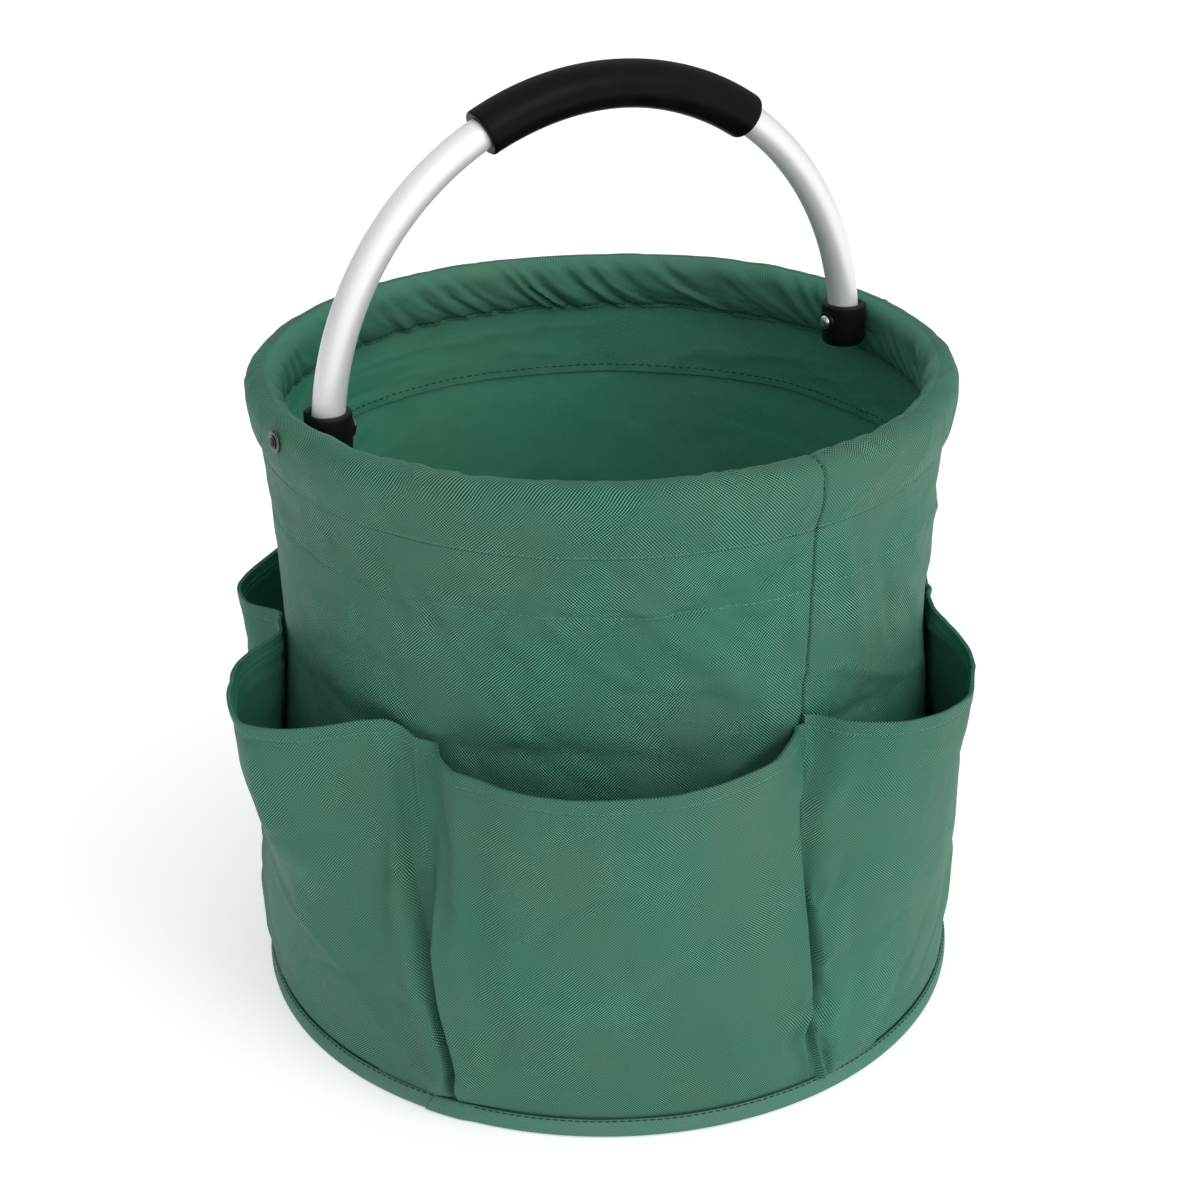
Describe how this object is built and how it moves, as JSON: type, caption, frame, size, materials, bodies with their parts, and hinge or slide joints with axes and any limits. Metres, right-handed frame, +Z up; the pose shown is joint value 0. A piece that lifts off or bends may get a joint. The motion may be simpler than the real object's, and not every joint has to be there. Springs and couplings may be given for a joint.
{
  "type": "fruit picking bag",
  "caption": "Open-topped soft bucket bag with outer pockets, a stiff hemmed rim and base, and a padded tubular bow handle that swings down inside the mouth.",
  "frame": {"origin": "middle of the underside, on the floor", "axes": "+Z up through the middle of the bag; +X along the handle's pivot axis towards the right socket; -Y is the front"},
  "size_m": [0.3786, 0.3608, 0.4512],
  "materials": {
    "outer_fabric": "coated twill, satin",
    "lining_fabric": "coated twill, uncoated side out",
    "binding_tape": "woven tape",
    "stiffener": "matt",
    "hoop_aluminium": "mill",
    "handle_aluminium": "satin anodised",
    "grip_foam": "matt foam",
    "socket_plastic": "satin moulded",
    "rivet_metal": "plated"
  },
  "bodies": {
    "bag_base": {"base_panel": "lining_fabric", "base_board": "stiffener", "floor_lining": "lining_fabric", "base_binding": "binding_tape", "body_wall": "outer_fabric", "facing_band": "lining_fabric", "pocket_front_left": "outer_fabric", "pocket_front_right": "outer_fabric", "pocket_right": "outer_fabric", "pocket_back_right": "outer_fabric", "pocket_back_left": "outer_fabric", "pocket_left": "outer_fabric"},
    "rim": {"rim_hoop": "hoop_aluminium", "hoop_plug": "hoop_aluminium", "rim_sleeve": "outer_fabric", "pivot_rivet_left": "rivet_metal", "pivot_rivet_right": "rivet_metal", "eyelet_left": "rivet_metal", "eyelet_right": "rivet_metal"},
    "handle": {"handle_tube": "handle_aluminium", "handle_grip": "grip_foam", "socket_left": "socket_plastic", "socket_right": "socket_plastic"}
  },
  "joints": [
    {"name": "rim_collapse", "type": "slide", "parent": "bag_base", "child": "rim", "axis": [0, 0, -1], "range_m": [0, 0.2], "deforming": ["body_wall", "facing_band", "pocket_front_left", "pocket_front_right", "pocket_right", "pocket_back_right", "pocket_back_left", "pocket_left"]},
    {"name": "handle_swing", "type": "hinge", "parent": "rim", "child": "handle", "pos_m": [0, 0, 0.307], "axis": [1, 0, 0], "range_deg": [-90, 90]}
  ]
}
